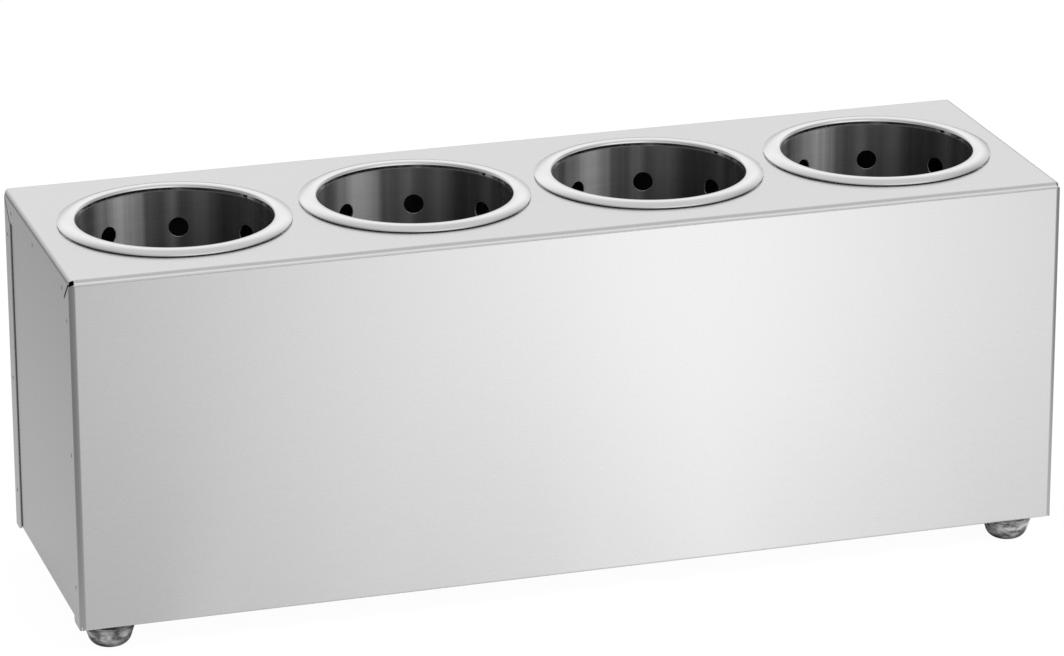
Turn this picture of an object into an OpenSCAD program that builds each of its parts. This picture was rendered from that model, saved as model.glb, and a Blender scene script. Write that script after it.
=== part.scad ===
// Countertop dispenser: a folded sheet-steel housing on four round feet, with four
// perforated steel cups that hang by their rims in holes in the top and lift straight out.
// Millimetres. X runs along the housing, the front faces -Y, Z = 0 is the surface it stands on.

/* [Housing] */
// Depth of the housing, front face to back face
body_d = 160; // [145:1:240]
// Height of the housing, bottom edge to top face
body_h = 186; // [150:1:260]
// Distance from an end face to the centre of the nearest cup
end_margin = 72.5; // [66:0.2:100]
// Thickness of the sheet that is folded into front, top and back
shell_t = 0.8; // [0.6:0.1:1.5]
// Thickness of the two end plates
end_plate_t = 0.8; // [0.6:0.1:1.5]
// Outer radius of the long bends and of the corner bends
bend_r = 3; // [2:0.1:5]
// Outer radius of the bends along the bottom edges
bottom_bend_r = 1.6; // [1.6:0.1:3]
// Width of the flange folded from the front round each end
front_flange_w = 15; // [12:0.5:25]
// Width of the flange folded from the top down each end
top_flange_w = 14; // [12:0.5:20]
// Width of the flange folded from the back round each end
back_flange_w = 14; // [12:0.5:25]
// Radius of the lower free corner of the front flanges
front_flange_corner_r = 2; // [1:0.5:4]
// Radius of the lower free corner of the back flanges
back_flange_corner_r = 4; // [1:0.5:6]
// Width of the flanges folded inward along the bottom of front and back
return_w = 32; // [28:0.5:40]
// Width of the flange folded inward along the bottom of each end plate
end_return_w = 34; // [28:0.5:40]
// Gap between an end plate's edges and the bends that it sits between
plate_clear = 0.2; // [0.1:0.1:1]

/* [Corner seams] */
// Width of the slot between two flanges at a top corner
seam_w = 1.6; // [0.4:0.1:2]
// How far short of the bends' inner end the slot stops
seam_short = 0.7; // [0.6:0.1:1]
// Width of the relief that widens the slot at the front or back bend
relief_w = 2.6; // [2.1:0.1:3]
// Length of the relief along the slot, from where the faces would meet
relief_l = 4.6; // [4:0.1:6]
// How far short of the bends' inner end the relief stops
relief_short = 0.4; // [0.2:0.1:0.5]

/* [Spot welds] */
// Radius of a spot-weld mark
weld_r = 1.1; // [0.5:0.1:2]
// Depth of a spot-weld mark
weld_depth = 0.2; // [0.1:0.05:0.3]
// Distance of the front and back flanges' welds from the front and back faces
weld_in = 8.5; // [7:0.5:11]
// Distance of the top flange's welds from the top face
weld_drop = 8.7; // [7:0.1:11]
// Distance of the upper welds on the front and back flanges from the top face
weld_upper = 23; // [20:1:40]
// Distance of the lower welds on the front and back flanges from the bottom edge
weld_lower = 21; // [12:1:40]
// Distance of the middle weld on the back flange from the top face
weld_back_middle = 102; // [60:1:120]
// Distance of the top flange's first weld from the front face
weld_first = 18; // [17:1:40]
// Distance of the top flange's middle weld from the front face
weld_middle = 88; // [60:1:110]
// Distance of the top flange's last weld from the back face
weld_last = 19; // [17:1:40]

/* [Cups] */
// Distance between neighbouring cup centres
cup_pitch = 127; // [124:0.2:160]
// Inner radius of a cup's wall
cup_r = 50.5; // [40:0.5:51]
// Height of a cup below the top face
cup_h = 137; // [80:1:140]
// Sheet thickness of a cup
cup_t = 0.8; // [0.6:0.1:1.2]
// Width of a cup's rim, from the inside of its wall to its outer edge
rim_w = 9.5; // [9:0.5:12]
// Radius of the rim's crown in section
crown_r = 12; // [11:0.5:20]
// Distance from the inside of the wall to the crest of the crown
crest_in = 3.5; // [3:0.1:6]
// Radius of the bend from the rim into the wall, inside
neck_r = 1.5; // [1.2:0.1:4]
// Radius of the bend from the wall into the floor, inside
floor_bend_r = 4; // [2:0.5:10]
// Gap under the rim's edge where it rests on the top
seat_gap = 0.2; // [0.1:0.05:0.3]
// Gap between a cup's wall and the hole it hangs in
wall_clear = 1.7; // [1:0.1:2.5]

/* [Perforations] */
// Radius of a drain hole
hole_r = 5.25; // [3:0.25:6]
// Distance from the top face down to the first row of holes
first_row = 20.4; // [15:0.1:30]
// Distance between rows
row_pitch = 30; // [20:1:32]
// Number of rows in the wall
hole_rows = 4; // [1:1:4]
// Pairs of opposite holes in a row
hole_pairs = 4; // [2:1:5]
// Turn of the hole pattern about the cup's axis, from the back towards +X
hole_turn = 15; // [0:0.5:45]
// Radius of the ring of holes in the floor
floor_ring_r = 27; // [20:1:32]
// Number of holes in the floor ring
floor_holes = 6; // [3:1:8]

/* [Feet] */
// Height of the gap between the surface and the bottom edge of the housing
foot_h = 15.5; // [14:0.5:25]
// Distance of a foot's axis from the end face
foot_in_x = 18.5; // [16:0.5:22]
// Distance of a foot's axis from the front or back face
foot_in_y = 17.5; // [16:0.5:20]
// Radius of the collar at the top of a foot
foot_top_r = 14.2; // [12:0.1:15]
// Height of the collar
foot_collar_h = 2.6; // [1:0.1:4]
// Step from the collar in to the bowl
foot_step = 0.7; // [0.3:0.1:1.5]
// Radius that the bowl's side tapers to at the bottom
foot_base_r = 9.6; // [8:0.1:11]
// Radius of the bowl's rounded lower edge
foot_round_r = 6.5; // [2:0.1:7]
// Radius of the sole
pad_r = 4.6; // [3:0.1:5]
// Thickness of the sole
pad_t = 2; // [1.2:0.1:3]
// How far the sole stands out below the foot
pad_out = 0.6; // [0.3:0.1:1]
// Gap round a piece that is set into a pocket or a hole of the same radius
set_gap = 0.1; // [0.05:0.05:0.2]

/* [Foot fasteners] */
// Radius of the stud's thread
stud_r = 3; // [2.5:0.5:3]
// Length of the stud inside the foot
stud_in = 9; // [6:0.5:10]
// Length of stud left above the nut
stud_out = 2; // [1:0.5:6]
// Clearance of the holes in the sheets round the stud
bolt_clear = 0.25; // [0.2:0.05:0.5]
// Outer radius of the washer
washer_r = 6; // [5.5:0.1:7]
// Thickness of the washer
washer_t = 1.6; // [1:0.1:2]
// Clearance of the washer's hole round the stud
washer_clear = 0.2; // [0.1:0.05:0.4]
// Width of the nut across its flats
nut_af = 10; // [9:0.5:11]
// Height of the nut
nut_h = 5; // [4:0.5:6]

/* [Hidden] */

cups = 4;
body_l = (cups - 1) * cup_pitch + 2 * end_margin;
bottom_z = foot_h;
top_z = bottom_z + body_h;
past = 1;             // how far a cut runs past the sheet that it cuts
arc_steps = 10;       // segments in a rounded corner of a turned profile
round_fn = 96;        // fineness of turned pieces
small_fn = 32;        // fineness of bends and small holes
corners = [
    ["front_left", -1, -1], ["front_right", 1, -1],
    ["back_left", -1, 1], ["back_right", 1, 1]
];

// Cup section
crown_x = cup_r + crest_in;
neck_x = cup_r + neck_r;
rim_r = cup_r + rim_w;
crown_z = top_z + seat_gap - sqrt(pow(crown_r - cup_t, 2) - pow(rim_r - crown_x, 2));
neck_z = crown_z + sqrt(pow(crown_r - neck_r, 2) - pow(crown_x - neck_x, 2));
meet_angle = atan2(neck_z - crown_z, neck_x - crown_x);
cup_bottom_z = top_z - cup_h;

// Foot fastener stack, from the underside of the housing up
stack_z = bottom_z + shell_t + end_plate_t;
nut_z = stack_z + washer_t;
stud_z = bottom_z - stud_in;
stud_l = stud_in + shell_t + end_plate_t + washer_t + nut_h + stud_out;

// Points along an arc in the section plane, from angle a to angle b
function arc(x, z, r, a, b) =
    [for (k = [0 : arc_steps]) let (w = a + (b - a) * k / arc_steps) [x + r * cos(w), z + r * sin(w)]];

// Points of the rounded corner at b between the straight lines from a and to c
function rounded(a, b, c, r) =
    let (u = (a - b) / norm(a - b), v = (c - b) / norm(c - b),
         half = acos(u * v) / 2,
         o = b + (u + v) / norm(u + v) * r / sin(half),
         p = b + u * r / tan(half) - o, q = b + v * r / tan(half) - o,
         s = atan2(p[1], p[0]), e = atan2(q[1], q[0]),
         turn = e - s > 180 ? e - s - 360 : e - s < -180 ? e - s + 360 : e - s)
    arc(o[0], o[1], r, s, s + turn);

// A w by h rectangle with its foot at the origin's line, upper corners rounded by r, lower ones by s
module rounded_face(w, h, r, s) {
    translate([-w / 2 + r, s]) square([w - 2 * r, h - s]);
    translate([-w / 2, s]) square([w, h - s - r]);
    translate([-w / 2 + s, 0]) square([w - 2 * s, s + past]);
    for (x = [-1, 1]) {
        translate([x * (w / 2 - r), h - r]) circle(r, $fn = small_fn);
        translate([x * (w / 2 - s), s]) circle(s, $fn = small_fn);
    }
}

// A rectangle centred on the origin with all its corners rounded
module rounded_plan(w, d, r) {
    square([w - 2 * r, d], center = true);
    square([w, d - 2 * r], center = true);
    for (x = [-1, 1], y = [-1, 1])
        translate([x * (w / 2 - r), y * (d / 2 - r)]) circle(r, $fn = small_fn);
}

// The housing's outer form drawn in by inset on every side
module body_form(inset) {
    l = body_l - 2 * inset;
    d = body_d - 2 * inset;
    h = body_h - 2 * inset;
    r = bend_r - inset;
    intersection() {
        translate([0, 0, bottom_z + inset]) rotate([90, 0, 90])
            linear_extrude(l, center = true) rounded_face(d, h, r, bottom_bend_r - inset);
        translate([0, 0, bottom_z + inset]) rotate([90, 0, 0])
            linear_extrude(d, center = true) {
                translate([-l / 2, 0]) square([l, h - r]);
                translate([-l / 2 + r, 0]) square([l - 2 * r, h]);
                for (x = [-1, 1]) translate([x * (l / 2 - r), h - r]) circle(r, $fn = small_fn);
            }
        translate([0, 0, bottom_z + inset]) linear_extrude(h) rounded_plan(l, d, r);
    }
}

// The opening that the flanges of one end leave, as a cut through that end
module end_window() {
    front = -body_d / 2 + front_flange_w;
    back = body_d / 2 - back_flange_w;
    high = top_z - top_flange_w;
    low = bottom_z - past;
    rf = front_flange_corner_r;
    rb = back_flange_corner_r;
    difference() {
        union() {
            translate([-past, front, low]) cube([bend_r + past, back - front, high - low]);
            translate([-past, front - rf, low]) cube([bend_r + past, rf + past, rf + past]);
            translate([-past, back - past, low]) cube([bend_r + past, rb + past, rb + past]);
        }
        translate([-2 * past, front - rf, bottom_z + rf]) rotate([0, 90, 0])
            cylinder(h = bend_r + 4 * past, r = rf, $fn = small_fn);
        translate([-2 * past, back + rb, bottom_z + rb]) rotate([0, 90, 0])
            cylinder(h = bend_r + 4 * past, r = rb, $fn = small_fn);
    }
}

// A cut of length l and width w along the mitre at one top corner; short is how far it stops from
// the bends' inner end, and side is -1 front, 1 back
module mitre_cut(side, l, w, short) {
    slope = atan2(top_flange_w, side < 0 ? front_flange_w : back_flange_w);
    translate([-past, side * body_d / 2, top_z]) rotate([side * slope, 0, 0])
        translate([0, side > 0 ? -l : 0, -w / 2]) cube([bend_r - short + past, l, w]);
}

// Everything cut from one end of the folded sheet
module end_cuts() {
    end_window();
    for (side = [-1, 1]) {
        seam_l = norm([side < 0 ? front_flange_w : back_flange_w, top_flange_w]) + past;
        mitre_cut(side, seam_l, seam_w, seam_short);
        mitre_cut(side, relief_l, relief_w, relief_short);
        // gap between the end flange and the bottom flange
        translate([shell_t, side * (body_d / 2 - shell_t) - (side > 0 ? return_w : 0), bottom_z - past])
            cube([bend_r - shell_t, return_w, shell_t + bottom_bend_r + past]);
    }
}

// Shallow marks of the spot welds on one end's flanges
module weld_marks() {
    sides_middle = (weld_upper + body_h - weld_lower) / 2;
    for (drop = [weld_upper, sides_middle, body_h - weld_lower])
        translate([0, -body_d / 2 + weld_in, top_z - drop]) weld_mark();
    for (drop = [weld_upper, weld_back_middle, body_h - weld_lower])
        translate([0, body_d / 2 - weld_in, top_z - drop]) weld_mark();
    for (y = [weld_first, weld_middle, body_d - weld_last])
        translate([0, -body_d / 2 + y, top_z - weld_drop]) weld_mark();
}

module weld_mark() {
    translate([-past, 0, 0]) rotate([0, 90, 0]) cylinder(h = weld_depth + past, r = weld_r, $fn = small_fn);
}

// Places its children at one end, with x = 0 on the end face and +x into the housing
module at_end(side) {
    mirror([side > 0 ? 1 : 0, 0, 0]) translate([-body_l / 2, 0, 0]) children();
}

module at_cup(i) {
    translate([(i - (cups + 1) / 2) * cup_pitch, 0, 0]) children();
}

module at_foot(c) {
    translate([c[1] * (body_l / 2 - foot_in_x), c[2] * (body_d / 2 - foot_in_y), 0]) children();
}

module bolt_hole() {
    translate([0, 0, bottom_z - past])
        cylinder(h = shell_t + end_plate_t + 2 * past, r = stud_r + bolt_clear, $fn = small_fn);
}

module housing_shell() {
    color("silver") difference() {
        body_form(0);
        body_form(shell_t);
        translate([-body_l / 2 - past, -body_d / 2 + return_w, bottom_z - past])
            cube([body_l + 2 * past, body_d - 2 * return_w, shell_t + bottom_bend_r + past]);
        for (side = [-1, 1]) at_end(side) {
            end_cuts();
            weld_marks();
        }
        for (i = [1 : cups]) at_cup(i) translate([0, 0, top_z - shell_t - past])
            cylinder(h = shell_t + 2 * past, r = cup_r + cup_t + wall_clear, $fn = round_fn);
        for (c = corners) at_foot(c) bolt_hole();
    }
}

// One end plate with its bottom flange, lying inside the folded sheet's flanges
module end_plate(side) {
    width = body_d - 2 * (bend_r + plate_clear);
    floor_z = bottom_z + shell_t;
    height = top_z - bend_r - plate_clear - floor_z;
    color("gainsboro") difference() {
        at_end(side) translate([shell_t, 0, floor_z]) rotate([90, 0, 0])
            linear_extrude(width, center = true) {
                translate([0, bottom_bend_r]) square([end_plate_t, height - bottom_bend_r]);
                translate([bottom_bend_r, 0]) square([end_return_w - bottom_bend_r, end_plate_t]);
                intersection() {
                    square(bottom_bend_r);
                    translate([bottom_bend_r, bottom_bend_r]) difference() {
                        circle(bottom_bend_r, $fn = small_fn);
                        circle(bottom_bend_r - end_plate_t, $fn = small_fn);
                    }
                }
            }
        for (c = corners) at_foot(c) bolt_hole();
    }
}

// A cup: rim, wall and floor in one sheet, with rows of drain holes
module cup(i) {
    lip = acos((rim_r - crown_x) / crown_r);
    under_lip = acos((rim_r - crown_x) / (crown_r - cup_t));
    floor_x = cup_r - floor_bend_r;
    floor_z = cup_bottom_z + cup_t + floor_bend_r;
    section = concat(
        arc(crown_x, crown_z, crown_r, lip, meet_angle),
        arc(neck_x, neck_z, neck_r, meet_angle, 180),
        arc(floor_x, floor_z, floor_bend_r, 0, -90),
        [[0, cup_bottom_z + cup_t], [0, cup_bottom_z]],
        arc(floor_x, floor_z, floor_bend_r + cup_t, -90, 0),
        arc(neck_x, neck_z, neck_r - cup_t, 180, meet_angle),
        arc(crown_x, crown_z, crown_r - cup_t, meet_angle, under_lip)
    );
    color("lightgray") at_cup(i) difference() {
        rotate_extrude($fn = round_fn) polygon(section);
        for (row = [0 : hole_rows - 1], k = [0 : hole_pairs - 1])
            translate([0, 0, top_z - first_row - row * row_pitch])
                rotate([90, 0, -hole_turn - k * 180 / hole_pairs])
                    cylinder(h = 2 * (cup_r + cup_t + past), r = hole_r, center = true, $fn = small_fn);
        translate([0, 0, cup_bottom_z - past]) {
            cylinder(h = cup_t + 2 * past, r = hole_r, $fn = small_fn);
            for (k = [0 : floor_holes - 1]) rotate([0, 0, -hole_turn + k * 360 / floor_holes])
                translate([0, floor_ring_r, 0]) cylinder(h = cup_t + 2 * past, r = hole_r, $fn = small_fn);
        }
    }
}

// A foot: collar, stepped and tapered bowl, pocket for the sole and hole for the stud
module foot(c) {
    collar_z = bottom_z - foot_collar_h;
    bowl_top = [foot_top_r - foot_step, collar_z];
    bowl_base = [foot_base_r, pad_out];
    section = concat(
        [[0, bottom_z], [foot_top_r, bottom_z], [foot_top_r, collar_z], bowl_top],
        rounded(bowl_top, bowl_base, [0, pad_out], foot_round_r),
        [[0, pad_out]]
    );
    color("dimgray") at_foot(c) difference() {
        rotate_extrude($fn = round_fn) polygon(section);
        translate([0, 0, -past]) cylinder(h = pad_t + past, r = pad_r + set_gap, $fn = small_fn);
        translate([0, 0, stud_z]) cylinder(h = stud_in + past, r = stud_r + set_gap, $fn = small_fn);
    }
}

module foot_sole(c) {
    color("black") at_foot(c) cylinder(h = pad_t, r = pad_r, $fn = small_fn);
}

module foot_stud(c) {
    color("silver") at_foot(c) translate([0, 0, stud_z]) cylinder(h = stud_l, r = stud_r, $fn = small_fn);
}

module foot_washer(c) {
    color("silver") at_foot(c) translate([0, 0, stack_z]) difference() {
        cylinder(h = washer_t, r = washer_r, $fn = small_fn);
        translate([0, 0, -past])
            cylinder(h = washer_t + 2 * past, r = stud_r + washer_clear, $fn = small_fn);
    }
}

module foot_nut(c) {
    color("silver") at_foot(c) translate([0, 0, nut_z]) difference() {
        cylinder(h = nut_h, r = nut_af / 2 / cos(30), $fn = 6);
        translate([0, 0, -past]) cylinder(h = nut_h + 2 * past, r = stud_r + set_gap, $fn = small_fn);
    }
}

housing_shell();
end_plate(-1);  // left_end_plate
end_plate(1);  // right_end_plate
for (i = [1 : cups]) cup(i);
for (c = corners) {
    foot(c);
    foot_sole(c);
    foot_stud(c);
    foot_washer(c);
    foot_nut(c);
}
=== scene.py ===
import math

import bmesh
import bpy
from mathutils import Matrix, Vector


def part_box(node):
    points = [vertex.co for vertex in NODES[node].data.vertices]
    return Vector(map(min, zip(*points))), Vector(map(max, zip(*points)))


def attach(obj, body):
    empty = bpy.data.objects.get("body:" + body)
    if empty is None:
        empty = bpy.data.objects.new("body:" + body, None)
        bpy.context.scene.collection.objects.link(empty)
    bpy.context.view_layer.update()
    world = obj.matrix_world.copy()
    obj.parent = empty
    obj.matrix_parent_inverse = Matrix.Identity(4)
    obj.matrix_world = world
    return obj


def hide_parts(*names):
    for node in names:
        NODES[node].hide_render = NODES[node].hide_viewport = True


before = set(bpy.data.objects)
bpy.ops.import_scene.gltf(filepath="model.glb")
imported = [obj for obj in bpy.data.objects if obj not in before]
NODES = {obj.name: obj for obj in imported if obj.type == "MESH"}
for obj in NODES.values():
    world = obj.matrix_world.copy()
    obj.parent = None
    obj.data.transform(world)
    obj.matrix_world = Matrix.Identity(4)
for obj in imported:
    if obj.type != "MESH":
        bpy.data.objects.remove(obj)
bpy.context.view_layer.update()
MM = 0.001

# ---- Sizes in millimetres, as in the part's source; heights are taken from the frame -------------

shell_low, shell_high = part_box("housing_shell")
TOP = shell_high.z / MM               # top face of the housing
BOTTOM = shell_low.z / MM             # bottom edge of the housing
DEPTH = (shell_high.y - shell_low.y) / MM
LENGTH = (shell_high.x - shell_low.x) / MM
CORNERS = ("front_left", "front_right", "back_left", "back_right")
CUPS = (1, 2, 3, 4)

CUP_R = 50.5                          # inside of a cup's wall
CUP_H = 137.0
CUP_SHEET = 0.8
CUP_PITCH = 127.0
SHELL_SHEET = 0.8
BEND_R = 3.0
RIM_R = 60.0
CREST_R = 54.0                        # where the rim's crown is highest
CROWN_R = 12.0
NECK_R = 1.5
NECK_AT = CUP_R + NECK_R
FLOOR_BEND_R = 4.0
SEAT_GAP = 0.2
HOLE_R = 5.25
HOLE_COLUMNS = 8
HOLE_ROWS = 4
FIRST_ROW = 20.4
ROW_PITCH = 30.0
HOLE_TURN = 15.0                      # degrees from the back towards +X
FLOOR_RING_R = 27.0
FLOOR_RING_HOLES = 6
LIP_H = 0.6                           # top of the lip's outer edge over the housing
LIP_UNDERCUT = 0.1                    # how far the lip's lower edge is drawn in and up
CUT_EDGE = 0.12                       # rounding of cut edges
WALL_RINGS = 3                        # rings of faces between the upper holes' tiles and the neck

FOOT_TOP_R = 14.2
FOOT_COLLAR_H = 2.6
FOOT_STEP = 0.7
FOOT_EDGE_R = 0.35
FOOT_BASE_R = 9.6
FOOT_ROUND_R = 6.5
SOLE_OUT = 0.6
SOLE_POCKET_R = 4.7
SOLE_POCKET_H = 2.0
STUD_R = 3.0
SET_GAP = 0.1
THREAD_PITCH = 1.0
THREAD_DEPTH = 0.55
THREAD_ROOT = 0.12                    # flat at the thread's root
THREAD_CREST = (0.47, 0.6)            # where its crest starts and ends
THREAD_STEPS = 24
NUT_FLATS = 10.0
NUT_CHAMFER = math.radians(30)
NUT_CUTS = 24                         # planes that chamfer each face of a nut
NUT_FACE_SHARE = 0.97                 # the round that the chamfer leaves, as a share of the flats
BORE_CHAMFER = 0.5

SMOOTH_ANGLE = math.radians(35)       # sharper edges than this stay sharp
LEVEL = 0.01                          # heights this close count as one
SAME_POINT = 0.001                    # points this close are merged

# ---- Finishes ------------------------------------------------------------------------------------

TOP_GRAIN = 0.4                       # strength of the brush lines on the top face
LINES_PER_M = 1500.0                  # brush lines across a metre
SHEET_TONE = 0.82
INSIDE_DULL_AND_SHADE_TONE = 0.3                     # the unpolished inner side of the sheets, dark for its dull finish and as painted shade inside the housing
INSIDE_ROUGH = 0.45
WELD_DARKNESS = 0.8
# painted shade: darkening of the housing's upright bends, which stands for the dark surroundings they
# reflect
BEND_PAINTED_SHADE = 0.32
INSIDE_FROM = (0.0004, 0.0006)        # metres into a sheet over which its inner side begins
WELD_DEPTH = (0.00006, 0.00014)       # metres into the end face over which a weld mark darkens
FACING_TOP = (0.8, 0.9)               # how far a face has to point up to count as the top
FACING_END = (0.6, 0.8)               # and sideways, to count as an end flange
FLAT_END = (0.985, 0.995)             # and to be the flat of that flange
FACING_CORNER = (0.02, 0.2)           # sideways share times forward share of an upright bend
SEAM_BLUR = 0.0002
COVER_BLUR = 0.0001
# reach of the flanges over an end plate, from the front, back and top faces, with the shadow beside them;
# over this reach the end plate is painted dark as shade
FRONT_COVER, BACK_COVER, TOP_COVER = 15.3, 16.5, 14.2
# painted shade on an end plate where the flanges cover it
COVER_PAINTED_SHADE = 0.85
SHEET_ROUGH = 0.27
RIM_TONE = 0.92
LIP_PAINTED_SHADOW = 0.25                       # painted shadow at the lip's outer edge, under the rim
CUT_TONE = 0.95                       # the cut edges of the holes
CUT_FROM, CUT_TO = 0.04, 0.74         # where in the sheet they lie, from its inner side
CUT_BLUR = 0.00004
LIP_SHADOW_WIDTH = 0.35                       # width of the painted shadow at the lip's outer edge
WALL_METAL = 0.5                      # the rest scatters, as the brushed wall does
# painted reflection: brightness of a cup's wall from its left to its right side
WALL_PAINTED_REFLECTION = ((0.0, 0.17), (0.13, 0.19), (0.23, 0.52), (0.32, 1.0), (0.38, 0.85), (0.43, 0.58),
              (0.47, 0.26), (0.54, 0.22), (0.6, 0.38), (0.65, 0.2), (0.75, 0.32), (0.84, 0.13), (1.0, 0.12))
RIM_ROUGH = 0.05
WALL_ROUGH = 0.13
FOOT_TONE = 0.42
# painted reflections: brightness of a foot from its sole to its collar
FOOT_PAINTED_REFLECTIONS = ((0.0, 0.1), (0.1, 0.2), (0.22, 0.6), (0.4, 0.9), (0.55, 1.3), (0.7, 0.8), (0.79, 0.45),
              (0.82, 1.3), (0.86, 0.35), (1.0, 0.25))

# ---- Camera and studio ---------------------------------------------------------------------------

PHOTO_WIDTH = 1064                    # pixels
FOCAL_PIXELS = 5197.4
SENSOR = 36.0                         # millimetres
CAMERA_AT = (-755.9, -2456.1, 823.6 + TOP)
CAMERA_TURN = (17.095, 19.345, -0.1956)   # yaw, pitch and roll in degrees

# brightness of the floor in mirrored rays, from 1 m left to 1 m right of the middle
FLOOR_SWEEP = ((0.2, 0.3), (0.285, 0.4), (0.35, 0.56), (0.38, 0.6), (0.405, 0.76), (0.455, 0.88),
               (0.485, 0.94), (0.51, 1.06), (0.538, 1.16), (0.565, 1.07), (0.592, 0.99), (0.62, 0.9),
               (0.675, 0.8), (0.8, 0.35))
FLOOR_SLANT = 0.3075                  # how far the sweep leans to the right per metre in front
FLOOR_START, FLOOR_RISE = 0.88, 0.5   # its brightness at the front face and the gain per metre from it
FLOOR_NEAR, FLOOR_FAR = 1.0, 2.0      # metres from the middle over which the mirrored floor fades
FLOOR_FAR_TONE = 0.15
FLOOR_BACK = 1.5                      # metres from the object's middle to the floor's
FLOOR_SIZE = 12
FLOOR_TONE, FLOOR_ROUGH = 0.85, 0.9
FLOOR_CONTACT = (-0.01, 0.02)         # metres from the object's outline over which it starts
FLOOR_MIRROR_SHARE = 0.9
FLOOR_WHITE_SHARE, FLOOR_WHITE = 0.93, 1.04
# brightness of the studio in mirrored rays, from the front horizon over the top to the back horizon
STUDIO_VAULT = ((0.0, 0.6), (0.06, 0.65), (0.1, 0.75), (0.25, 0.95), (0.38, 0.55), (0.7, 0.6),
                (0.88, 0.93), (0.91, 0.87), (0.945, 0.7), (1.0, 0.6))
# and from the left to the right
STUDIO_SIDE = ((0.0, 0.45), (0.3, 0.65), (0.5, 1.0), (0.7, 1.0), (0.85, 0.66), (1.0, 0.6))
WORLD_LIGHT = 0.6

AROUND = 128                          # steps round a cup
TILE_SIDE = AROUND // HOLE_COLUMNS    # steps along one side of a hole's tile


# ---- Mesh helpers --------------------------------------------------------------------------------

def arc(x, z, r, start, end, steps):
    """Points (radius, height) along an arc, angles in degrees."""
    turns = [math.radians(start + (end - start) * k / steps) for k in range(steps + 1)]
    return [(x + r * math.cos(t), z + r * math.sin(t)) for t in turns]


def add_line(bm, points, turn=0.0):
    """A chain of edges through (radius, height) points in the half plane at turn, from +Y towards +X."""
    side = Vector((math.sin(turn), math.cos(turn), 0))
    verts = [bm.verts.new(side * r + Vector((0, 0, z))) for r, z in points]
    return verts + [bm.edges.new(pair) for pair in zip(verts, verts[1:])]


def spin_line(bm, points, steps=AROUND, turn=0.0):
    bmesh.ops.spin(bm, geom=add_line(bm, points, turn), cent=(0, 0, 0), axis=(0, 0, 1), dvec=(0, 0, 0),
                   angle=2 * math.pi, steps=steps, use_merge=True, use_normal_flip=False,
                   use_duplicate=False)


def merge(bm):
    bmesh.ops.remove_doubles(bm, verts=bm.verts, dist=SAME_POINT)
    bmesh.ops.recalc_face_normals(bm, faces=bm.faces)


def everything(bm):
    return list(bm.verts) + list(bm.edges) + list(bm.faces)


def only(kind, geom):
    return [part for part in geom if isinstance(part, kind)]


def open_edges(bm, height):
    """The border edges at a height."""
    return [edge for edge in bm.edges
            if len(edge.link_faces) < 2 and all(abs(vert.co.z - height) < LEVEL for vert in edge.verts)]


def cut_off(bm, point, outward):
    """Cuts off what lies outward of a plane and closes the cut."""
    cut = bmesh.ops.bisect_plane(bm, geom=everything(bm), dist=1e-5, plane_co=point, plane_no=outward,
                                 clear_outer=True)
    bmesh.ops.holes_fill(bm, edges=only(bmesh.types.BMEdge, cut["geom_cut"]), sides=0)


def finish_piece(bm, name, centre, body, replaced, made):
    """Puts a mesh drawn in millimetres round a centre in its place, in metres, and hands it to its body."""
    bmesh.ops.translate(bm, verts=bm.verts, vec=centre)
    bmesh.ops.scale(bm, verts=bm.verts, vec=(MM, MM, MM))
    mesh = bpy.data.meshes.new(name)
    for face in bm.faces:
        face.smooth = True
    bm.to_mesh(mesh)
    bm.free()
    mesh.set_sharp_from_angle(angle=SMOOTH_ANGLE)
    piece = bpy.data.objects.new(name, mesh)
    bpy.context.scene.collection.objects.link(piece)
    mesh.materials.append(made)
    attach(piece, body)
    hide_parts(replaced)
    return piece


# ---- Cups ------------------------------------------------------------------------------------------

def punched_wall(bm):
    """The wall of a cup as a flat sheet of tiles with a round hole each, X along the sheet, Z up."""
    width = 2 * math.pi * CUP_R / HOLE_COLUMNS
    bmesh.ops.create_circle(bm, segments=4 * TILE_SIDE, radius=HOLE_R)
    border = bmesh.ops.create_circle(bm, segments=4, radius=math.sqrt(0.5))["verts"]
    bmesh.ops.rotate(bm, verts=border, cent=(0, 0, 0), matrix=Matrix.Rotation(math.pi / 4, 3, "Z"))
    bmesh.ops.scale(bm, verts=border, vec=(width, ROW_PITCH, 1))
    sides = {edge for vert in border for edge in vert.link_edges}
    bmesh.ops.subdivide_edges(bm, edges=list(sides), cuts=TILE_SIDE - 1)
    bmesh.ops.bridge_loops(bm, edges=bm.edges)
    spokes = [edge for edge in bm.edges if len(edge.link_faces) == 2]
    bmesh.ops.subdivide_edges(bm, edges=spokes, cuts=3)
    bmesh.ops.rotate(bm, verts=bm.verts, cent=(0, 0, 0), matrix=Matrix.Rotation(math.pi / 2, 3, "X"))
    tile = everything(bm)
    for column in range(HOLE_COLUMNS):
        for row in range(HOLE_ROWS):
            if column or row:
                copy = bmesh.ops.duplicate(bm, geom=tile)["geom"]
                bmesh.ops.translate(bm, verts=only(bmesh.types.BMVert, copy),
                                    vec=(column * width, 0, -row * ROW_PITCH))
    bmesh.ops.translate(bm, verts=bm.verts, vec=(0, 0, -FIRST_ROW))
    merge(bm)


def roll_up(bm):
    """Bends the flat sheet into the cup's wall."""
    for vert in bm.verts:
        turn = vert.co.x / CUP_R + math.radians(HOLE_TURN)
        vert.co = (CUP_R * math.sin(turn), CUP_R * math.cos(turn), vert.co.z)


def extend_border(bm, at, heights):
    """Draws the ring of border edges at a height on to other heights."""
    ring = open_edges(bm, at)
    for height in heights:
        made = bmesh.ops.extrude_edge_only(bm, edges=ring)["geom"]
        verts = only(bmesh.types.BMVert, made)
        ring = [edge for edge in only(bmesh.types.BMEdge, made) if set(edge.verts) <= set(verts)]
        bmesh.ops.translate(bm, verts=verts, vec=(0, 0, height - at))
        at = height


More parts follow.
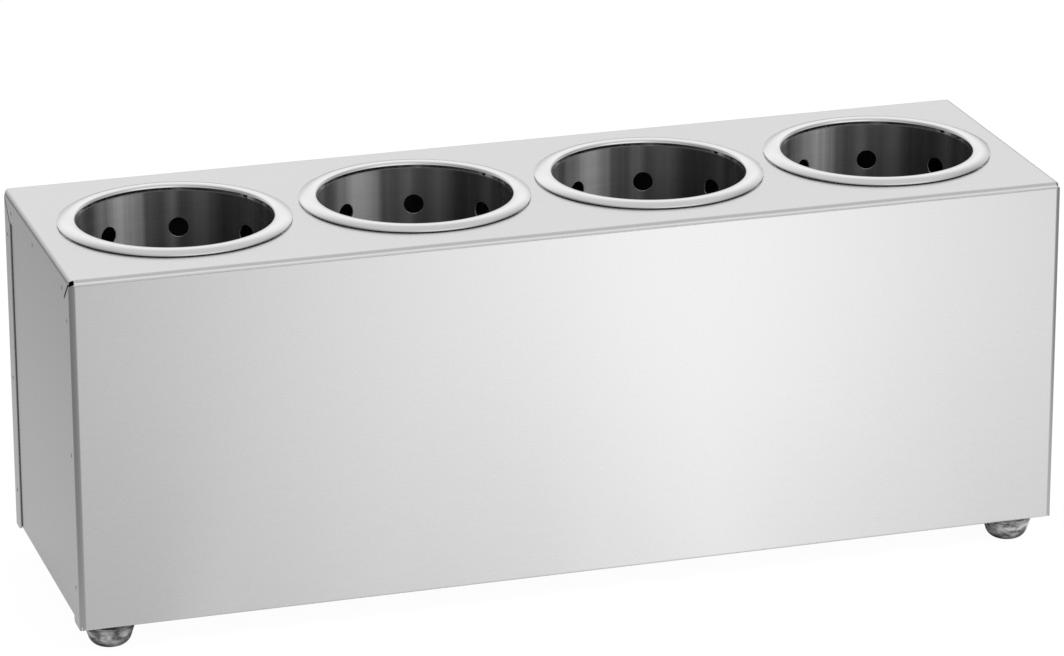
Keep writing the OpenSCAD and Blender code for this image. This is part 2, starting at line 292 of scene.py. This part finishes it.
def draw_cup():
    """One cup round the Z axis, its height measured from the top face of the housing."""
    crown_z = SEAT_GAP - math.sqrt((CROWN_R - CUP_SHEET) ** 2 - (RIM_R - CREST_R) ** 2)
    neck_z = crown_z + math.sqrt((CROWN_R - NECK_R) ** 2 - (CREST_R - NECK_AT) ** 2)
    meet = math.degrees(math.atan2(neck_z - crown_z, NECK_AT - CREST_R))
    lip = math.degrees(math.acos((RIM_R - CREST_R) / CROWN_R))
    floor_top = CUP_SHEET - CUP_H
    wall_top = ROW_PITCH / 2 - FIRST_ROW
    wall_foot = wall_top - HOLE_ROWS * ROW_PITCH
    floor_bend_z = floor_top + FLOOR_BEND_R

    bm = bmesh.new()
    punched_wall(bm)
    roll_up(bm)
    merge(bm)
    extend_border(bm, wall_top,
                  [wall_top + (neck_z - wall_top) * (k + 1) / WALL_RINGS for k in range(WALL_RINGS)])
    extend_border(bm, wall_foot, [(wall_foot + floor_bend_z) / 2, floor_bend_z])
    turn = math.radians(HOLE_TURN + 180 / HOLE_COLUMNS)
    spin_line(bm, arc(CREST_R, crown_z, CROWN_R, lip, meet, 16)
              + arc(NECK_AT, neck_z, NECK_R, meet, 180, 12)[1:], turn=turn)
    flat_r = CUP_R - FLOOR_BEND_R
    spin_line(bm, arc(flat_r, floor_bend_z, FLOOR_BEND_R, 0, -90, 8) + [(flat_r - 1, floor_top)], turn=turn)
    merge(bm)
    border = open_edges(bm, floor_top)
    spots = [(0, 0)] + [(FLOOR_RING_R * math.sin(t), FLOOR_RING_R * math.cos(t)) for t in (
        math.radians(HOLE_TURN) + 2 * math.pi * k / FLOOR_RING_HOLES for k in range(FLOOR_RING_HOLES))]
    for x, y in spots:
        hole = bmesh.ops.create_circle(bm, segments=48, radius=HOLE_R,
                                       matrix=Matrix.Translation((x, y, floor_top)))["verts"]
        border += list({e for v in hole for e in v.link_edges})
    bmesh.ops.triangle_fill(bm, edges=border, use_beauty=True, normal=(0, 0, 1))
    merge(bm)
    # the inside of the wall faces the axis; any face between the rim and the holes tells which way it is
    probe = min(bm.faces, key=lambda face: abs(face.calc_center_median().z - (wall_top + neck_z) / 2))
    centre = probe.calc_center_median()
    if probe.normal.dot(Vector((centre.x, centre.y, 0))) > 0:
        bmesh.ops.reverse_faces(bm, faces=bm.faces)
    bmesh.ops.solidify(bm, geom=bm.faces, thickness=CUP_SHEET)
    for vert in bm.verts:
        radius = math.hypot(vert.co.x, vert.co.y)
        if RIM_R - 1 < radius < RIM_R - 0.05 and vert.co.z < LIP_H:
            reach = (RIM_R - LIP_UNDERCUT) / radius
            vert.co = (vert.co.x * reach, vert.co.y * reach, SEAT_GAP + LIP_UNDERCUT)
    return bm


def round_wall(mesh, axis_x):
    """Points the normals of a cup's upright wall straight at its axis or away from it."""
    on_wall = set()
    for face in mesh.polygons:
        out = Vector((face.center.x - axis_x, face.center.y, 0)).normalized()
        if abs(face.normal.z) < 0.02 and abs(face.normal.dot(out)) > 0.98:
            on_wall.update(face.vertices)
    normals = [Vector((0, 0, 0))] * len(mesh.loops)
    for face in mesh.polygons:
        out = Vector((face.center.x - axis_x, face.center.y, 0)).normalized()
        side = face.normal.dot(out)
        for corner in face.loop_indices if abs(side) > 0.9 else ():
            vert = mesh.loops[corner].vertex_index
            if vert in on_wall:
                spot = mesh.vertices[vert].co
                normals[corner] = Vector((spot.x - axis_x, spot.y, 0)).normalized() * math.copysign(1, side)
    mesh.normals_split_custom_set(normals)


def make_cups(made):
    drawn = draw_cup()
    for number in CUPS:
        low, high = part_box(f"cup_{number}")
        piece = finish_piece(drawn.copy(), f"drawn_cup_{number}", ((low.x + high.x) / 2 / MM, 0, TOP),
                             f"cup_{number}", f"cup_{number}", made)
        bevel = piece.modifiers.new("cut_edges", "BEVEL")
        bevel.width = CUT_EDGE * MM
        bevel.segments = 2
        bevel.limit_method = "ANGLE"
        bevel.angle_limit = math.radians(50)
        # the bevel is applied here, so that the wall's normals are set on the finished mesh
        ready = piece.evaluated_get(bpy.context.evaluated_depsgraph_get())
        piece.data = bpy.data.meshes.new_from_object(ready)
        piece.modifiers.clear()
        round_wall(piece.data, (low.x + high.x) / 2)
    drawn.free()


# ---- Feet ------------------------------------------------------------------------------------------

def rounded(a, b, c, r, steps):
    """Points of the rounded corner at b between the straight lines from a and to c."""
    a, b, c = Vector(a), Vector(b), Vector(c)
    u, v = (a - b).normalized(), (c - b).normalized()
    half = u.angle(v) / 2
    centre = b + (u + v).normalized() * r / math.sin(half)
    first = b + u * r / math.tan(half) - centre
    last = b + v * r / math.tan(half) - centre
    start = math.degrees(math.atan2(first.y, first.x))
    turn = math.degrees(math.atan2(last.y, last.x)) - start
    turn -= 360 * round(turn / 360)
    return arc(centre.x, centre.y, r, start, start + turn, steps)


def make_foot(corner, made):
    stud_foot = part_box(f"foot_stud_{corner}")[0].z / MM
    collar = BOTTOM - FOOT_COLLAR_H
    bowl_top, bowl_base = (FOOT_TOP_R - FOOT_STEP, collar), (FOOT_BASE_R, SOLE_OUT)
    bore = STUD_R + SET_GAP
    section = (
        [(0, stud_foot), (bore, stud_foot), (bore, BOTTOM)]
        + rounded((bore, BOTTOM), (FOOT_TOP_R, BOTTOM), (FOOT_TOP_R, collar), FOOT_EDGE_R, 4)
        + rounded((FOOT_TOP_R, BOTTOM), (FOOT_TOP_R, collar), bowl_top, FOOT_EDGE_R, 4)
        + [bowl_top]
        + rounded(bowl_top, bowl_base, (0, SOLE_OUT), FOOT_ROUND_R, 16)
        + [(SOLE_POCKET_R, SOLE_OUT), (SOLE_POCKET_R, SOLE_POCKET_H), (0, SOLE_POCKET_H)])
    bm = bmesh.new()
    spin_line(bm, section, steps=96)
    merge(bm)
    finish_piece(bm, f"turned_foot_{corner}", foot_place(corner), "housing", f"foot_{corner}",
                 made)


def foot_place(corner):
    low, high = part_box(f"foot_{corner}")
    return ((low.x + high.x) / 2 / MM, (low.y + high.y) / 2 / MM, 0)


def make_stud(corner, made):
    """A threaded stud: one turn of the thread's section spun up the whole length, then cut to length."""
    low, high = (corner_point.z / MM for corner_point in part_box(f"foot_stud_{corner}"))
    core = STUD_R - THREAD_DEPTH
    turns = math.ceil((high - low) / THREAD_PITCH) + 2
    bm = bmesh.new()
    section = [(core, 0), (core, THREAD_ROOT), *((STUD_R, z) for z in THREAD_CREST), (core, THREAD_PITCH)]
    geom = add_line(bm, [(r, low - THREAD_PITCH + z) for r, z in section])
    bmesh.ops.spin(bm, geom=geom, cent=(0, 0, 0), axis=(0, 0, 1), dvec=(0, 0, THREAD_PITCH / THREAD_STEPS),
                   angle=2 * math.pi * turns, steps=THREAD_STEPS * turns, use_merge=False,
                   use_normal_flip=False, use_duplicate=False)
    bmesh.ops.remove_doubles(bm, verts=bm.verts, dist=0.002)
    for height, side in ((low, -1), (high, 1)):
        cut_off(bm, (0, 0, height), (0, 0, side))
    merge(bm)
    finish_piece(bm, f"threaded_stud_{corner}", foot_place(corner), "housing",
                 f"foot_stud_{corner}", made)


def make_nut(corner, made):
    """A hexagon nut with chamfered corners and a bored hole."""
    low, high = (corner_point.z / MM for corner_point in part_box(f"foot_nut_{corner}"))
    flats = NUT_FLATS / 2
    bm = bmesh.new()
    bmesh.ops.create_cone(bm, cap_ends=True, segments=6, radius1=flats / math.cos(math.pi / 6),
                          radius2=flats / math.cos(math.pi / 6), depth=high - low,
                          matrix=Matrix.Translation((0, 0, (low + high) / 2)))
    # planes round a cone cut the corners back to a circle on both faces
    for side, face_z in ((-1, low), (1, high)):
        for k in range(NUT_CUTS):
            turn = 2 * math.pi * (k + 0.5) / NUT_CUTS
            out = Vector((math.sin(turn), math.cos(turn), 0))
            tip = Vector((0, 0, side))
            normal = (out * math.sin(NUT_CHAMFER) + tip * math.cos(NUT_CHAMFER)).normalized()
            cut_off(bm, out * flats * NUT_FACE_SHARE + Vector((0, 0, face_z)), normal)
    caps = [f for f in bm.faces if abs(f.normal.z) > 0.99]
    bmesh.ops.delete(bm, geom=caps, context="FACES_ONLY")
    bore = STUD_R + SET_GAP
    spin_line(bm, [(bore + BORE_CHAMFER, low), (bore, low + BORE_CHAMFER),
                   (bore, high - BORE_CHAMFER), (bore + BORE_CHAMFER, high)], steps=48)
    for height in (low, high):
        bmesh.ops.triangle_fill(bm, edges=open_edges(bm, height), use_beauty=True, normal=(0, 0, 1))
    merge(bm)
    finish_piece(bm, f"chamfered_nut_{corner}", foot_place(corner), "housing",
                 f"foot_nut_{corner}", made)


# ---- Shader helpers ---------------------------------------------------------------------------

class Wire:
    """A socket whose operators add the Math nodes that compute them."""

    def __init__(self, tree, socket):
        self.tree = tree
        self.socket = socket

    def math(self, operation, *others):
        return Shader(self.tree).add("ShaderNodeMath", {"operation": operation}, self, *others)

    def __add__(self, other):
        return self.math("ADD", other)

    def __sub__(self, other):
        return self.math("SUBTRACT", other)

    def __mul__(self, other):
        return self.math("MULTIPLY", other)

    def __rsub__(self, other):
        return (self * -1) + other

    __radd__ = __add__
    __rmul__ = __mul__

    def absolute(self):
        return self.math("ABSOLUTE")

    def at_least(self, other):
        return self.math("MAXIMUM", other)

    def at_most(self, other):
        return self.math("MINIMUM", other)

    def ramp(self, low, high):
        """0 at low, 1 at high."""
        return ((self - low) * (1 / (high - low))).at_most(1).at_least(0)

    def stretched(self):
        """A noise with its middle range drawn out to 0 and 1."""
        return self.ramp(0.3, 0.7)


class Shader:
    """Adds nodes to a node tree: a type, its settings, and the values or links of its sockets."""

    def __init__(self, tree):
        self.tree = tree

    def add(self, kind, settings=None, *positional, out=0, numbered=None, **sockets):
        node = self.tree.nodes.new(kind)
        for name, value in (settings or {}).items():
            if name == "stops":
                self.set_stops(node.color_ramp, value)
            else:
                setattr(node, name, value)
        named = {name.replace("_", " "): value for name, value in sockets.items()}
        for key, value in {**dict(enumerate(positional)), **(numbered or {}), **named}.items():
            if isinstance(value, Wire):
                self.tree.links.new(value.socket, node.inputs[key])
            else:
                node.inputs[key].default_value = value
        return Wire(self.tree, node.outputs[out]) if node.outputs else None

    @staticmethod
    def set_stops(ramp, stops):
        ramp.interpolation = "EASE"
        while len(ramp.elements) < len(stops):
            ramp.elements.new(1.0)
        for element, (at, value) in zip(ramp.elements, stops):
            element.position = at
            element.color = grey(value)

    def split(self, vector):
        node = self.add("ShaderNodeSeparateXYZ", None, vector).socket.node
        return [Wire(self.tree, socket) for socket in node.outputs]

    def spot(self):
        return self.add("ShaderNodeTexCoord", out="Object")

    def facing(self):
        """The surface's own direction."""
        return self.add("ShaderNodeTexCoord", out="Normal")

    def noise(self, scale, detail=2.0, rough=0.5, seed=0.0):
        """3D noise over Object coordinates; scale holds cells per metre along X, Y and Z."""
        place = self.add("ShaderNodeMapping", None, Vector=self.spot(), Scale=scale)
        return self.add("ShaderNodeTexNoise", {"noise_dimensions": "4D"}, Vector=place,
                        W=seed, Scale=1.0, Detail=detail, Roughness=rough)

    def sweep(self, stops, place):
        return self.add("ShaderNodeValToRGB", {"stops": stops}, place)

    def mix(self, mask, a, b, blend="MIX"):
        """A blend of two colours."""
        return self.add("ShaderNodeMix", {"data_type": "RGBA", "blend_type": blend}, out=2,
                        numbered={0: mask, 6: a, 7: b})

    def bump(self, strength, distance, height):
        return self.add("ShaderNodeBump", None, Strength=strength, Distance=distance, Height=height)

    def choose(self, share, a, b):
        """A blend of two shaders."""
        return self.add("ShaderNodeMixShader", None, share, a, b)

    def on_rays(self, *kinds):
        """1 on rays of the given kinds, 0 on others."""
        first, *others = [self.add("ShaderNodeLightPath", out=f"Is {kind} Ray") for kind in kinds]
        for other in others:
            first = first.at_least(other)
        return first

    def surface(self, **sockets):
        """Ends a material in a Principled shader."""
        self.add("ShaderNodeOutputMaterial", None, self.add("ShaderNodeBsdfPrincipled", None, **sockets))


def empty_tree(owner):
    owner.use_nodes = True
    owner.node_tree.nodes.clear()
    return Shader(owner.node_tree)


def material(name):
    made = bpy.data.materials.new(name)
    return made, empty_tree(made)


def grey(value):
    return (value, value, value, 1.0)


# ---- Materials --------------------------------------------------------------------------------

def grain(shader, axis, seed=0.0):
    """Fine brush lines along one axis, 0 X, 1 Y, 2 Z: hair lines and wider bands."""
    hair = [LINES_PER_M] * 3
    hair[axis] = LINES_PER_M / 7
    band = [LINES_PER_M / 5] * 3
    band[axis] = LINES_PER_M / 30
    return (shader.noise(tuple(hair), detail=3.0, rough=0.6, seed=seed) * 0.7
            + shader.noise(tuple(band), detail=2.0, seed=seed + 3.0) * 0.3)


def sheet_finish(shader, base, rough, lines, inward, painted_shade_and_welds):
    """Brushed steel with its lines, darkened by painted shade and by weld marks, over the dull inner side
    of the sheet, which is made darker still as painted shade.
    """
    inside = inward.ramp(*INSIDE_FROM)
    cloud = shader.noise((9.0, 9.0, 9.0), detail=3.0, seed=9.0)
    tone = lines.stretched() * 0.75 + cloud.ramp(0.35, 0.65) * 0.25
    # painted shade and weld marks darken the outer side
    outer = shader.mix(tone, (1 - painted_shade_and_welds) * (base * 0.96), (1 - painted_shade_and_welds) * (base * 1.04))
    # the inner side: a dull finish, darkened further as painted shade inside the housing
    inner = shader.mix(tone, grey(INSIDE_DULL_AND_SHADE_TONE * 0.85), grey(INSIDE_DULL_AND_SHADE_TONE * 1.15))
    shader.surface(
        Metallic=1.0, Base_Color=shader.mix(inside, outer, inner),
        Roughness=(lines - 0.5) * 0.12 + (cloud - 0.5) * 0.04 + rough + inside * (INSIDE_ROUGH - rough),
        Normal=shader.bump(0.2, 0.00001, lines))


def folded_sheet(name, base, rough):
    """The housing's sheet. Its brush lines run along X and turn with its end flanges."""
    made, shader = material(name)
    across, depth, height = shader.split(shader.spot())
    normal_x, normal_y, normal_z = shader.split(shader.facing())
    normal_x = normal_x.absolute()
    from_side = (DEPTH / 2 * MM) - depth.absolute()
    from_top = (TOP * MM) - height
    from_end = (LENGTH / 2 * MM) - across.absolute()
    strength = 1 - normal_z.ramp(*FACING_TOP) * (1 - TOP_GRAIN)
    on_end = normal_x.ramp(*FACING_END)
    top_flange = (from_side - from_top).ramp(-SEAM_BLUR, SEAM_BLUR)
    lines = (grain(shader, 0) * (1 - on_end)
             + grain(shader, 2, 7.0) * on_end * top_flange
             + grain(shader, 1, 11.0) * on_end * (1 - top_flange))
    lines = (lines - 0.5) * strength + 0.5
    # depth under the outer surface, round the bends too
    reaches = [(BEND_R * MM - gap).at_least(0.0)
               for gap in (from_side, from_top, from_end, height - BOTTOM * MM)]
    inward = BEND_R * MM - sum(reach * reach for reach in reaches).math("SQRT")
    outside = 1 - inward.ramp(*INSIDE_FROM)
    weld = normal_x.ramp(*FLAT_END) * from_end.ramp(*WELD_DEPTH) * outside
    # painted shade in the upright bends, for the dark surroundings they reflect
    bend = (normal_x * normal_y.absolute()).ramp(*FACING_CORNER) * outside
    sheet_finish(shader, base, rough, lines, inward, weld * WELD_DARKNESS + bend * BEND_PAINTED_SHADE)
    return made


def end_plate(name, base, rough):
    """A plate inside the end flanges. Its brush lines are upright, and it is painted dark as shade under
    the flanges.
    """
    made, shader = material(name)
    across, depth, height = shader.split(shader.spot())
    # painted shade: the end plate is dark where the flanges cover it and in the shadow beside them
    front, back, top = (1 - (gap - reach * MM).ramp(-COVER_BLUR, COVER_BLUR) for gap, reach in (
        (depth + DEPTH / 2 * MM, FRONT_COVER),
        (DEPTH / 2 * MM - depth, BACK_COVER),
        (TOP * MM - height, TOP_COVER)))
    sheet_finish(shader, base, rough, grain(shader, 2, 5.0),
                 (LENGTH / 2 * MM) - across.absolute() - SHELL_SHEET * MM,
                 front.at_least(back).at_least(top) * COVER_PAINTED_SHADE)
    return made


def cup_steel(name):
    """A polished rim above a wall that is finely brushed round and round, with painted reflections on the
    wall and a painted shadow at the lip's outer edge.
    """
    made, shader = material(name)
    across, depth, height = shader.split(shader.spot())
    local = ((across * (1 / (CUP_PITCH * MM))).math("FRACT") - 0.5) * (CUP_PITCH * MM)
    radius = (local * local + depth * depth).math("SQRT")
    wall = (TOP * MM - height).ramp(-0.0002, 0.0008)
    in_sheet, past_sheet = ((radius - (CUP_R + at) * MM).ramp(0.0, CUT_BLUR) for at in (CUT_FROM, CUT_TO))
    cut = in_sheet * (1 - past_sheet) * wall
    # painted shadow: a dark band at the lip's outer edge stands for the contact shadow under the rim
    lip = ((radius - (RIM_R - LIP_SHADOW_WIDTH) * MM).ramp(0.0, 0.0002)
           * (1 - (height - (TOP + LIP_H) * MM).ramp(-0.0001, 0.0001)))
    # painted reflection: the wall's brightness across the cup and its upright streaks
    sweep = shader.sweep(WALL_PAINTED_REFLECTION, local.ramp(-CUP_R * MM, CUP_R * MM))
    painted_reflection_streaks = shader.noise((150.0, 150.0, 1.5), detail=4.0, rough=0.6, seed=6.0)
    rings = shader.noise((24.0, 24.0, 1500.0), detail=3.0, rough=0.6)
    bands = shader.noise((6.0, 6.0, 240.0), detail=2.0, seed=4.0)
    haze = shader.noise((70.0, 70.0, 70.0), detail=3.0, seed=2.0)
    tone = (rings.stretched() * 0.6 + bands.stretched() * 0.4) * wall + haze * (1 - wall)
    rim_colour = shader.mix(tone, grey(RIM_TONE * 0.98), grey(RIM_TONE * 1.02))
    wall_grain_and_painted_reflection = shader.mix(tone * 0.3 + painted_reflection_streaks.stretched() * 0.7, sweep * 0.5, sweep)
    shader.surface(
        Metallic=1 - wall * (1 - WALL_METAL),
        Base_Color=shader.mix(wall, shader.mix(lip, rim_colour, grey(LIP_PAINTED_SHADOW)),
                              shader.mix(cut, wall_grain_and_painted_reflection, grey(CUT_TONE))),
        Roughness=wall * ((bands - 0.5) * 0.08 + (rings - 0.5) * 0.06 + WALL_ROUGH - RIM_ROUGH)
        + haze * 0.03 + RIM_ROUGH,
        Normal=shader.bump(0.15, 0.00001, rings * wall))
    return made


def dark_metal(name, base):
    """Dark glossy turned metal with faint tool rings and rubbed spots, and painted reflections in bands and
    patches.
    """
    made, shader = material(name)
    height = shader.split(shader.spot())[2]
    # painted reflections: bands of brightness up the foot and bright patches
    bands = shader.sweep(FOOT_PAINTED_REFLECTIONS, height.ramp(0.0, BOTTOM * MM))
    painted_reflection_patches = shader.noise((150.0, 150.0, 260.0), detail=2.0, seed=5.0).ramp(0.4, 0.6) * 1.3 + 0.35
    rings = shader.noise((30.0, 30.0, 1100.0), detail=2.0)
    spots = shader.noise((260.0, 260.0, 260.0), detail=3.0, seed=2.0)
    shader.surface(Metallic=1.0,
                   Base_Color=shader.mix(rings * 0.5 + spots * 0.5, bands * painted_reflection_patches * (base * 0.85),
                                         bands * painted_reflection_patches * (base * 1.15)),
                   Roughness=spots * 0.08 + rings * 0.05 + 0.1)
    return made


def plain_steel(name, base, rough):
    made, shader = material(name)
    spots = shader.noise((500.0, 500.0, 500.0), detail=3.0)
    shader.surface(Metallic=1.0, Base_Color=shader.mix(spots, grey(base * 0.85), grey(base * 1.1)),
                   Roughness=spots * 0.15 + rough)
    return made


def rubber(name):
    made, shader = material(name)
    fine = shader.noise((800.0, 800.0, 800.0), detail=2.0)
    shader.surface(Base_Color=shader.mix(fine, grey(0.015), grey(0.035)), Roughness=fine * 0.2 + 0.5,
                   Normal=shader.bump(0.3, 0.00005, fine))
    return made


def dress(node, made):
    NODES[node].data.materials.clear()
    NODES[node].data.materials.append(made)


plate_steel = end_plate("end_plate_steel", SHEET_TONE, SHEET_ROUGH)
foot_finish = dark_metal("dark_foot_metal", FOOT_TONE)
sole_finish = rubber("sole_rubber")
fastener_finish = plain_steel("fastener_steel", 0.6, 0.25)

dress("housing_shell", folded_sheet("folded_sheet_steel", SHEET_TONE, SHEET_ROUGH))
for end in ("left", "right"):
    dress(f"{end}_end_plate", plate_steel)
make_cups(cup_steel("cup_steel"))
for place in CORNERS:
    make_foot(place, foot_finish)
    make_stud(place, fastener_finish)
    make_nut(place, fastener_finish)
    dress(f"foot_sole_{place}", sole_finish)
    dress(f"foot_washer_{place}", fastener_finish)


# ---- Camera -----------------------------------------------------------------------------------

def make_camera():
    data = bpy.data.cameras.new("camera")
    data.sensor_width = SENSOR
    data.lens = FOCAL_PIXELS * SENSOR / PHOTO_WIDTH
    data.clip_end = 100
    camera = bpy.data.objects.new("camera", data)
    bpy.context.scene.collection.objects.link(camera)
    yaw, pitch, roll = (math.radians(angle) for angle in CAMERA_TURN)
    ahead = Vector((math.sin(yaw) * math.cos(pitch), math.cos(yaw) * math.cos(pitch), -math.sin(pitch)))
    right = Vector((math.cos(yaw), -math.sin(yaw), 0))
    up = right.cross(ahead)
    rolled_right = right * math.cos(roll) + up * math.sin(roll)
    rolled_up = up * math.cos(roll) - right * math.sin(roll)
    turn = Matrix((rolled_right, rolled_up, -ahead)).transposed().to_4x4()
    camera.matrix_world = Matrix.Translation(Vector(CAMERA_AT) * MM) @ turn
    bpy.context.scene.camera = camera


# ---- Floor, world and lamps -------------------------------------------------------------------

def make_floor():
    """A pale floor. Camera rays see it nearly white, with the shadow; mirrored rays see FLOOR_SWEEP."""
    bpy.ops.mesh.primitive_plane_add(size=FLOOR_SIZE, location=(0, FLOOR_BACK, 0))
    floor = bpy.context.object
    floor.name = "floor"
    made, shader = material("pale_floor")
    across, depth, _ = shader.split(shader.spot())
    depth = depth + FLOOR_BACK
    away = (across * across + depth * depth).math("SQRT")
    fade = 1 - away.ramp(FLOOR_NEAR, FLOOR_FAR) * (1 - FLOOR_FAR_TONE)
    beside = (across.absolute() - LENGTH / 2 * MM).at_least(depth.absolute() - DEPTH / 2 * MM)
    ahead = (depth * -1 - DEPTH / 2 * MM).at_least(0.0)
    sweep = shader.sweep(FLOOR_SWEEP, (across - ahead * FLOOR_SLANT).ramp(-1.0, 1.0))
    fade = fade * (ahead.at_most(1.0) * FLOOR_RISE + FLOOR_START)
    lit = shader.add("ShaderNodeBsdfPrincipled", None, Base_Color=grey(FLOOR_TONE), Roughness=FLOOR_ROUGH)
    mirrored = shader.choose(beside.ramp(*FLOOR_CONTACT) * FLOOR_MIRROR_SHARE, lit,
                             shader.add("ShaderNodeEmission", None, sweep, fade))
    seen = shader.choose(FLOOR_WHITE_SHARE, lit,
                         shader.add("ShaderNodeEmission", None, grey(1.0), FLOOR_WHITE))
    both = shader.choose(shader.on_rays("Glossy", "Transmission"), lit, mirrored)
    shader.add("ShaderNodeOutputMaterial", None, shader.choose(shader.on_rays("Camera"), both, seen))
    floor.data.materials.append(made)


def make_world():
    """White to the camera; to mirrored rays a studio that runs from the front up and over to the back."""
    world = bpy.data.worlds.new("studio")
    bpy.context.scene.world = world
    shader = empty_tree(world)
    across, depth, height = shader.split(shader.add("ShaderNodeTexCoord", out="Generated"))
    over = height.at_least(0.0).math("ARCTAN2", depth * -1) * (1 / math.pi)
    mirrored = shader.mix(1.0, shader.sweep(STUDIO_VAULT, over),
                          shader.sweep(STUDIO_SIDE, across.ramp(-1.0, 1.0)), "MULTIPLY")
    light, studio, white = (shader.add("ShaderNodeBackground", None, colour, strength)
                            for colour, strength in (
                                (grey(1.0), WORLD_LIGHT), (mirrored, 1.0), (grey(1.0), 1.0)))
    both = shader.choose(shader.on_rays("Glossy", "Transmission"), light, studio)
    shader.add("ShaderNodeOutputWorld", None, shader.choose(shader.on_rays("Camera"), both, white))


def make_lamp(name, at, aim, size, power):
    data = bpy.data.lights.new(name, "AREA")
    data.shape = "RECTANGLE"
    data.size, data.size_y = size
    data.energy = power
    lamp = bpy.data.objects.new(name, data)
    lamp.location = at
    lamp.visible_glossy = False
    lamp.rotation_euler = (Vector(aim) - Vector(at)).to_track_quat("-Z", "Y").to_euler()
    bpy.context.scene.collection.objects.link(lamp)


make_camera()
make_floor()
make_world()
make_lamp("key", (1.7, -1.6, 1.9), (0, 0, 0.1), (1.6, 1.6), 40)
make_lamp("fill", (-0.6, -2.0, 1.8), (0, 0, 0.1), (1.4, 1.4), 6)

bpy.context.scene.cycles.glossy_bounces = 8
bpy.context.scene.view_settings.view_transform = "Standard"
